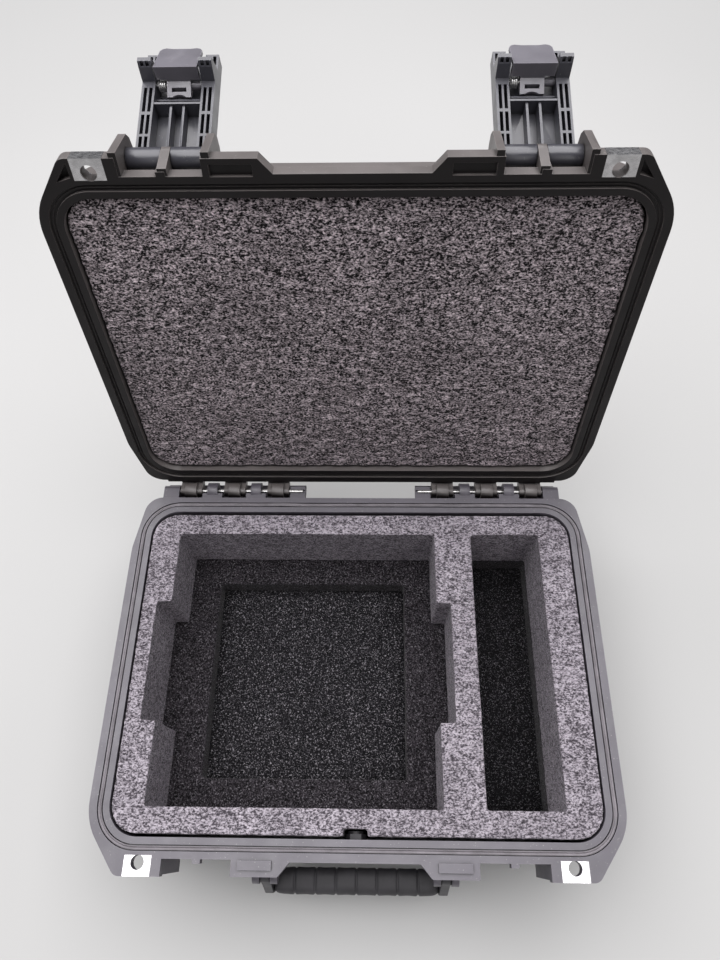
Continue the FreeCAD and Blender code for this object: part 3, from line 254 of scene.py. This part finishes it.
def cut_foam(name, dark, light, grain, relief, stretch=(1, 1, 1), crumbs=0.0, pocket_shade=False,
             band=(0.62, 0.86)):
    """Closed-cell foam: torn cells in light and dark, pits darkened with painted shade, and pale
    crumbs on the surface.

    band is the part of the cells' height that goes from dark to light, and a foam that lies
    deep in a pocket can get painted shade there, darker where the pocket closes in.
    """
    finish = Finish(name)
    cells = finish.noise(grain, detail=3, roughness=0.6, stretch=stretch, distortion=0.4)
    coarse = finish.noise(grain * 3.2, detail=3, roughness=0.6, stretch=stretch, distortion=0.8)
    cloud = finish.noise(0.05, detail=3)
    height = finish.math("ADD", cells, finish.math("MULTIPLY", coarse, 0.45))
    tone = finish.mix(finish.between(height, *band), dark, light)
    tone = finish.mix(finish.between(cloud, 0.35, 0.7, 0.0, 0.22), tone, dark)
    # Painted shade: small pits are darkened towards a fifth of the dark colour.
    pit_shade = finish.between(finish.noise(grain * 2.2, detail=1), 0.30, 0.24)
    tone = finish.mix(finish.math("MULTIPLY", pit_shade, 0.85), tone, shade(dark, 0.2))
    if crumbs:
        spots = finish.between(finish.noise(1.2 * MM, detail=1, distortion=1.0), 0.60, 0.70)
        tone = finish.mix(finish.math("MULTIPLY", spots, crumbs), tone, CRUMB)
    # Painted shade: deep in a narrow pocket the foam darkens towards near black.
    if pocket_shade:
        pocket_shade_mask = finish.between(finish.openness(110 * MM), 0.12, 0.38)
        tone = finish.mix(pocket_shade_mask, shade(dark, 0.4), tone)
    normal = finish.bump(height, relief, 1.1 * MM)
    return finish.finish(tone, 0.92, normal, specular=0.12, sheen=0.1)


def rubber(name, colour, roughness, grain, relief):
    """Soft matt rubber with a fine grain and dusty high spots."""
    finish = Finish(name)
    cloud = finish.noise(0.02, detail=4, roughness=0.6)
    fine = finish.noise(grain, detail=3)
    tone = finish.mix(finish.between(cloud, 0.35, 0.7), shade(colour, 0.8), shade(colour, 1.35))
    tone = finish.mix(finish.math("MULTIPLY", finish.edges(0.8 * MM), 0.5), tone,
                      shade(colour, 2.0))
    rough = finish.between(cloud, 0.3, 0.7, roughness - 0.06, roughness + 0.08)
    normal = finish.bump(fine, relief, 0.1 * MM)
    return finish.finish(tone, rough, normal, specular=0.35)


def make_materials():
    """Every finish of the case, by name."""
    made = {}
    made["shell"] = moulded_plastic("shell_plastic", (0.094, 0.085, 0.104), 0.46,
                                    0.55 * MM, 0.35, dust=0.35, specular=1.0)
    # The lid's faces that look over the base get a near-black painted shade colour.
    made["lid"] = moulded_plastic("lid_plastic", (0.125, 0.111, 0.107), 0.46,
                                  0.55 * MM, 0.30, dust=0.25, specular=0.9,
                                  inward_shade_colour=(0.0085, 0.0065, 0.0068))
    made["latch"] = moulded_plastic("latch_plastic", (0.050, 0.050, 0.062), 0.36,
                                    0.35 * MM, 0.15, wear=0.7, dust=0.25, specular=1.0)
    made["trigger"] = moulded_plastic("trigger_plastic", (0.158, 0.150, 0.172), 0.38,
                                      0.35 * MM, 0.15, wear=0.7, dust=0.25, specular=1.0)
    made["hardware"] = moulded_plastic("hardware_plastic", (0.045, 0.043, 0.048), 0.48,
                                       0.4 * MM, 0.25, wear=0.6)
    made["plate"] = steel("steel_plate", (0.72, 0.71, 0.72), 0.26, (14, 1, 1))
    made["pin"] = steel("steel_pin", (0.62, 0.61, 0.60), 0.28, (1, 6, 6))
    made["spring"] = steel("spring_steel", (0.95, 0.94, 0.93), 0.38, (3, 3, 3))
    made["gasket"] = rubber("gasket_rubber", (0.20, 0.185, 0.20), 0.45, 0.5 * MM, 0.2)
    made["grip"] = rubber("grip_rubber", (0.05, 0.048, 0.052), 0.55, 0.5 * MM, 0.4)
    made["foam"] = cut_foam("foam_top", (0.060, 0.052, 0.062), (0.58, 0.53, 0.59),
                            1.15 * MM, 1.0, stretch=(1.5, 1, 1))
    # The lid foam's near-white grains on near-black are partly its own pale cells and partly
    # painted sparkle highlights.
    made["foam_lid"] = cut_foam("foam_lid", (0.004, 0.003, 0.0035), (0.95, 0.82, 0.87),
                                1.2 * MM, 1.0, stretch=(1.5, 1, 1), band=(0.66, 0.94))
    made["foam_middle"] = cut_foam("foam_middle", (0.003, 0.0025, 0.003), (0.055, 0.048, 0.056),
                                   1.2 * MM, 0.9, crumbs=0.4)
    # The pad foam gets painted shade where it lies deep in the pockets.
    made["foam_pad"] = cut_foam("foam_pad", (0.002, 0.002, 0.0025), (0.026, 0.024, 0.028),
                                1.2 * MM, 1.0, crumbs=0.8, pocket_shade=True)
    return made


MATERIALS = make_materials()


def paint(piece, material):
    """Gives every face of a piece one of the finishes."""
    slots = piece.data.materials
    if not slots:
        slots.append(None)
    for i in range(len(slots)):
        slots[i] = MATERIALS[material]


def paint_cad():
    """Finishes for the CAD nodes that stay visible."""
    finishes = {"base_shell": "shell", "lid_shell": "lid", "handle_frame": "hardware",
                "valve_body": "hardware", "valve_nut": "hardware", "valve_cap": "hardware",
                "valve_seal": "gasket"}
    for side in SIDES:
        finishes["latch_body_" + side] = "latch"
        finishes["trigger_" + side] = "trigger"
        for plate in ("base_lock_plate_", "lid_lock_plate_"):
            finishes[plate + side] = "plate"
        for pin in ("hinge_pin_", "handle_pin_", "latch_pin_", "trigger_pin_"):
            finishes[pin + side] = "pin"
    for name, finish in finishes.items():
        paint(nodes[name], finish)


def soften_edges(name, width):
    """Rounds a moulded CAD piece's edges, as a mould leaves them."""
    piece = nodes[name]
    weld = piece.modifiers.new("weld", "WELD")
    weld.merge_threshold = 0.002 * MM
    bevel = piece.modifiers.new("bevel", "BEVEL")
    bevel.width = width
    bevel.segments = 2
    bevel.limit_method = "ANGLE"
    bevel.angle_limit = math.radians(38)
    bevel.harden_normals = True


# ---------------------------------------------------------------- mesh helpers

def new_object(name, mesh):
    piece = bpy.data.objects.new(name, mesh)
    bpy.context.scene.collection.objects.link(piece)
    return piece


def apply_modifiers(piece):
    """Turns a piece's modifiers into its mesh."""
    view = bpy.context.evaluated_depsgraph_get()
    mesh = bpy.data.meshes.new_from_object(piece.evaluated_get(view))
    piece.modifiers.clear()
    piece.data = mesh
    return mesh


def smooth(piece):
    for polygon in piece.data.polygons:
        polygon.use_smooth = True


def coordinates(mesh):
    places = np.empty(len(mesh.vertices) * 3)
    mesh.vertices.foreach_get("co", places)
    return places.reshape(-1, 3)


def vertex_normals(mesh):
    normals = np.empty(len(mesh.vertices) * 3)
    mesh.vertices.foreach_get("normal", normals)
    return normals.reshape(-1, 3)


def push_out(piece, amount):
    """Moves each vertex along its normal by amount(place, normal)."""
    mesh = piece.data
    places, normals = coordinates(mesh), vertex_normals(mesh)
    steps = [amount(Vector(place), Vector(normal)) for place, normal in zip(places, normals)]
    moved = places + normals * np.array(steps)[:, None]
    mesh.vertices.foreach_set("co", moved.ravel())
    mesh.update()


def clouds(place, size, seed):
    """Smooth noise from -1 to 1 with features of about size metres."""
    return noise.noise(place / size + Vector((seed, 2.3 * seed, -1.7 * seed)))


# ---------------------------------------------------------------- foam lining

def foam_piece(name, material, body, relief, grain, closed=None):
    """A foam layer built over its CAD solid: remeshed, its cut faces uneven and pitted.

    closed is the turn from the closed lid's frame for a layer that sits in the lid.
    """
    mesh = nodes[name].data.copy()
    if closed is not None:
        mesh.transform(closed.inverted())
    piece = new_object(name + "_cut", mesh)
    remesh = piece.modifiers.new("remesh", "REMESH")
    remesh.mode = "VOXEL"
    remesh.voxel_size = 1.25 * MM
    apply_modifiers(piece)

    def uneven(place, normal):
        wave = 0.35 * clouds(place, 40 * MM, 3.1) * (1 - abs(normal.z))
        torn = relief * clouds(Vector([p / (g * MM) for p, g in zip(place, grain)]), 1, 7.7)
        return (wave + torn - 0.25 * relief) * MM

    push_out(piece, uneven)
    smooth(piece)
    if closed is not None:
        piece.matrix_world = closed
    paint(piece, material)
    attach(piece, body)
    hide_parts(name)
    return piece


# ---------------------------------------------------------------- rim gasket

def rounded_path(half_x, half_y, corner, step):
    """Places and outward normals around a rounded rectangle, in order."""
    path = []
    turns = ((1, 1), (-1, 1), (-1, -1), (1, -1))
    arc_count = 12
    for i, (sx, sy) in enumerate(turns):
        centre = Vector((sx * (half_x - corner), sy * (half_y - corner), 0))
        start = i * math.pi / 2
        for k in range(arc_count + 1):
            angle = start + k / arc_count * math.pi / 2
            normal = Vector((math.cos(angle), math.sin(angle), 0))
            path.append((centre + corner * normal, normal))
        nx, ny = turns[(i + 1) % 4]
        following = Vector((nx * (half_x - corner), ny * (half_y - corner), 0))
        here = centre + corner * normal
        there = following + corner * normal
        count = int((there - here).length / step)
        for k in range(1, count):
            path.append((here.lerp(there, k / count), normal))
    return path


def swept_ring(name, path, profile, drift):
    """A closed ring: profile points (out, up) at every place of the path, moved by drift."""
    shape = bmesh.new()
    rows = []
    for place, normal in path:
        shift = drift(place)
        row = [shape.verts.new(place + normal * (out + shift) + Vector((0, 0, up)))
               for out, up in profile]
        rows.append(row)
    count = len(profile)
    for i, row in enumerate(rows):
        following = rows[(i + 1) % len(rows)]
        for k in range(count):
            other = (k + 1) % count
            shape.faces.new((row[k], following[k], following[other], row[other]))
    bmesh.ops.recalc_face_normals(shape, faces=shape.faces)
    mesh = bpy.data.meshes.new(name)
    shape.to_mesh(mesh)
    shape.free()
    return new_object(name, mesh)


def rim_gasket():
    """A soft rubber strip with a flat band and a raised lip, a little uneven in its groove."""
    low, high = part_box("rim_gasket")
    corner = 33.0 * MM
    path = rounded_path(high.x, high.y, corner, 4 * MM)
    top = high.z - 0.15 * MM
    bottom = low.z + 0.05 * MM
    lip, band, wide = top, top - 1.0 * MM, 3.2 * MM
    profile = [(0.0, bottom), (0.0, band - 0.3 * MM), (-0.2 * MM, band),
               (-1.7 * MM, band + 0.1 * MM), (-1.95 * MM, band - 0.9 * MM),
               (-2.15 * MM, band - 0.9 * MM), (-2.3 * MM, lip - 0.4 * MM), (-2.55 * MM, lip),
               (-2.9 * MM, lip - 0.1 * MM), (-wide, lip - 0.6 * MM), (-wide, bottom)]

    def drift(place):
        rear = max(0.0, place.y / high.y) ** 6
        return (0.12 + 0.25 * rear) * MM * clouds(place, 30 * MM, 5.5)

    piece = swept_ring("rim_gasket_strip", path, profile, drift)
    smooth(piece)
    paint(piece, "gasket")
    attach(piece, "base")
    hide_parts("rim_gasket")


# ---------------------------------------------------------------- handle grip

def rounded_section(half_y, half_z, power, count):
    """Points of a soft rectangle around the origin in Y and Z."""
    points = []
    for k in range(count):
        angle = 2 * math.pi * k / count
        c, s = math.cos(angle), math.sin(angle)
        points.append((half_y * math.copysign(abs(c) ** (2 / power), c),
                       half_z * math.copysign(abs(s) ** (2 / power), s)))
    return points


def handle_grip():
    """A soft grip with evenly spaced ring grooves and rounded ends."""
    low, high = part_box("handle_grip")
    centre = (low + high) / 2
    half = (high - low) / 2
    pitch = 16.7 * MM
    groove_depth, groove_width = 1.1 * MM, 0.9 * MM
    end_depth, end_length = 4.0 * MM, 9 * MM
    crown = 0.35 * MM
    grooves = [i * pitch for i in range(-3, 4)]
    section = rounded_section(half.y, half.z, 3.2, 64)
    shape = bmesh.new()
    rows = []
    count = int(2 * half.x / (0.55 * MM))
    for i in range(count + 1):
        x = -half.x + 2 * half.x * i / count
        near = min(abs(x - groove) for groove in grooves)
        dip = groove_depth * math.exp(-(near / groove_width) ** 2)
        end = max(0.0, 1 - (half.x - abs(x)) / end_length)
        dip += end_depth * (1 - math.sqrt(max(0.0, 1 - end * end)))
        swell = crown * math.cos(2 * math.pi * near / pitch) - crown
        inward = dip - swell * 0.5
        scale_y, scale_z = 1 - inward / half.y, 1 - inward / half.z
        rows.append([shape.verts.new((centre.x + x, centre.y + y * scale_y,
                                      centre.z + z * scale_z)) for y, z in section])
    for row, following in zip(rows, rows[1:]):
        for k in range(len(section)):
            other = (k + 1) % len(section)
            shape.faces.new((row[k], row[other], following[other], following[k]))
    shape.faces.new(rows[0])
    shape.faces.new(rows[-1])
    bmesh.ops.recalc_face_normals(shape, faces=shape.faces)
    mesh = bpy.data.meshes.new("handle_grip_rubber")
    shape.to_mesh(mesh)
    shape.free()
    piece = new_object("handle_grip_rubber", mesh)
    smooth(piece)
    paint(piece, "grip")
    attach(piece, "handle")
    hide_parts("handle_grip")


# ---------------------------------------------------------------- trigger springs

def trigger_spring(side):
    """A torsion coil around the trigger pin, with one leg standing up beside the hook."""
    node = "trigger_spring_" + side
    low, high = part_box(node)
    centre = (low + high) / 2
    wire = 0.6 * MM
    radius = (high.y - low.y) / 2 - wire
    turns, steps_per_turn = 4, 16
    curve = bpy.data.curves.new(node + "_wire", "CURVE")
    curve.dimensions = "3D"
    curve.bevel_depth = wire
    curve.bevel_resolution = 4
    curve.use_fill_caps = True
    steps = turns * steps_per_turn
    start, end = low.x + wire, high.x - wire
    places = []
    for i in range(steps + 1):
        angle = 2 * math.pi * i / steps_per_turn + math.pi / 2
        x = start + (end - start) * i / steps
        places.append(Vector((x, centre.y + radius * math.cos(angle),
                              centre.z + radius * math.sin(angle))))
    leg = places[0] + Vector((0, -5.5 * MM, 0.6 * MM))
    places = [leg] + places + [places[-1] + Vector((0, 4.0 * MM, 0))]
    line = curve.splines.new("POLY")
    line.points.add(len(places) - 1)
    for point, place in zip(line.points, places):
        point.co = (*place, 1)
    coil = new_object(node + "_coil_curve", curve)
    bpy.context.view_layer.update()
    view = bpy.context.evaluated_depsgraph_get()
    mesh = bpy.data.meshes.new_from_object(coil.evaluated_get(view))
    bpy.data.objects.remove(coil)
    piece = new_object(node + "_coil", mesh)
    smooth(piece)
    paint(piece, "spring")
    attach(piece, "latch_" + side)
    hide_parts(node)


# ---------------------------------------------------------------- stage, light and camera

PALE_WALL = (0.66, 0.66, 0.66, 1)


def fade_to_wall(finish, near, far):
    """Blends a finish into the pale wall between two distances, for the camera only."""
    length = finish.add("ShaderNodeVectorMath", operation="LENGTH")
    finish.feed(length.inputs[0], finish.place)
    ray = finish.add("ShaderNodeLightPath").outputs["Is Camera Ray"]
    glow = finish.add("ShaderNodeEmission")
    glow.inputs["Color"].default_value = PALE_WALL
    blend = finish.add("ShaderNodeMixShader")
    fade = finish.between(length.outputs["Value"], near, far)
    finish.feed(blend.inputs[0], finish.math("MULTIPLY", fade, ray))
    finish.feed(blend.inputs[1], finish.surface.outputs[0])
    finish.feed(blend.inputs[2], glow.outputs[0])
    finish.feed(finish.tree.nodes["Material Output"].inputs["Surface"], blend.outputs[0])


def pale_floor():
    """A plain pale floor with a barely uneven tone."""
    mesh = bpy.data.meshes.new("floor")
    half = 8.0
    corners = [(-half, -half, 0), (half, -half, 0), (half, half, 0), (-half, half, 0)]
    mesh.from_pydata(corners, [], [(0, 1, 2, 3)])
    floor = new_object("floor", mesh)
    finish = Finish("floor")
    tone = finish.mix(finish.noise(0.6, detail=2), (0.56, 0.56, 0.55), (0.62, 0.62, 0.61))
    normal = finish.bump(finish.noise(2 * MM), 0.05, 0.1 * MM)
    mesh.materials.append(finish.finish(tone, 0.8, normal, specular=0.2))
    fade_to_wall(finish, 0.9, 2.6)
    floor.location.z = cad_low.z - 0.1 * MM


def area_light(name, place, target, size, power, colour=(1, 1, 1)):
    light = bpy.data.lights.new(name, "AREA")
    light.shape = "RECTANGLE"
    light.size, light.size_y = size
    light.energy = power
    light.color = colour
    lamp = new_object(name, light)
    lamp.location = place
    aim = Vector(target) - Vector(place)
    lamp.rotation_mode = "QUATERNION"
    lamp.rotation_quaternion = aim.to_track_quat("-Z", "Y")


def studio_world():
    """A weak even glow on the case, seen by the camera as a pale wall."""
    world = bpy.data.worlds.new("studio")
    world.use_nodes = True
    tree = world.node_tree
    glow = tree.nodes["Background"]
    glow.inputs["Color"].default_value = (0.80, 0.82, 0.86, 1)
    glow.inputs["Strength"].default_value = 0.17
    wall = tree.nodes.new("ShaderNodeBackground")
    wall.inputs["Color"].default_value = PALE_WALL
    ray = tree.nodes.new("ShaderNodeLightPath").outputs["Is Camera Ray"]
    choice = tree.nodes.new("ShaderNodeMixShader")
    tree.links.new(ray, choice.inputs[0])
    tree.links.new(glow.outputs[0], choice.inputs[1])
    tree.links.new(wall.outputs[0], choice.inputs[2])
    tree.links.new(choice.outputs[0], tree.nodes["World Output"].inputs["Surface"])
    return world


def studio_light():
    """A wide soft light above and behind the lid from the left, with a weak front fill."""
    middle = (0, 0.05, 0.12)
    area_light("sky", (-0.20, 0.60, 2.3), middle, (3.4, 2.8), 104, (1.0, 0.985, 1.0))
    area_light("fill", (0.6, -1.8, 1.3), middle, (1.6, 1.2), 5, (1.0, 0.97, 0.95))
    bpy.context.scene.world = studio_world()
    bpy.context.scene.view_settings.view_transform = "Standard"


def main_camera():
    """A hand-held wide view from above the handle, tipped a little and looking at the lid."""
    place = Vector((15.04, -135.97, 727.96)) * MM
    tilt, turn, roll = (math.radians(angle) for angle in (26.845, -2.841, 2.380))
    view = (Matrix.Rotation(roll, 3, "Z") @ Matrix.Rotation(-tilt, 3, "X")
            @ Matrix.Rotation(turn, 3, "Z"))
    camera = bpy.data.cameras.new("camera")
    camera.sensor_width = 36
    camera.lens = 26.649
    camera.clip_start = 0.01
    eye = new_object("camera", camera)
    eye.matrix_world = Matrix.Translation(place) @ view.transposed().to_4x4()
    bpy.context.scene.camera = eye


def build():
    paint_cad()
    for name in ("base_shell", "lid_shell"):
        soften_edges(name, 0.6 * MM)
    for side in SIDES:
        soften_edges("latch_body_" + side, 0.5 * MM)
        soften_edges("trigger_" + side, 0.5 * MM)
    soften_edges("handle_frame", 0.8 * MM)
    foam_piece("foam_base_pad", "foam_pad", "base", 0.7, (3.2, 3.2, 3.2))
    foam_piece("foam_middle_layer", "foam_middle", "base", 0.4, (4.0, 4.0, 4.0))
    foam_piece("foam_top_layer", "foam", "base", 0.4, (5.0, 3.5, 3.5))
    foam_piece("lid_foam", "foam_lid", "lid", 0.9, (9.0, 4.0, 4.0), LID_OPEN)
    rim_gasket()
    handle_grip()
    for side in SIDES:
        trigger_spring(side)
    pale_floor()
    studio_light()
    main_camera()


build()
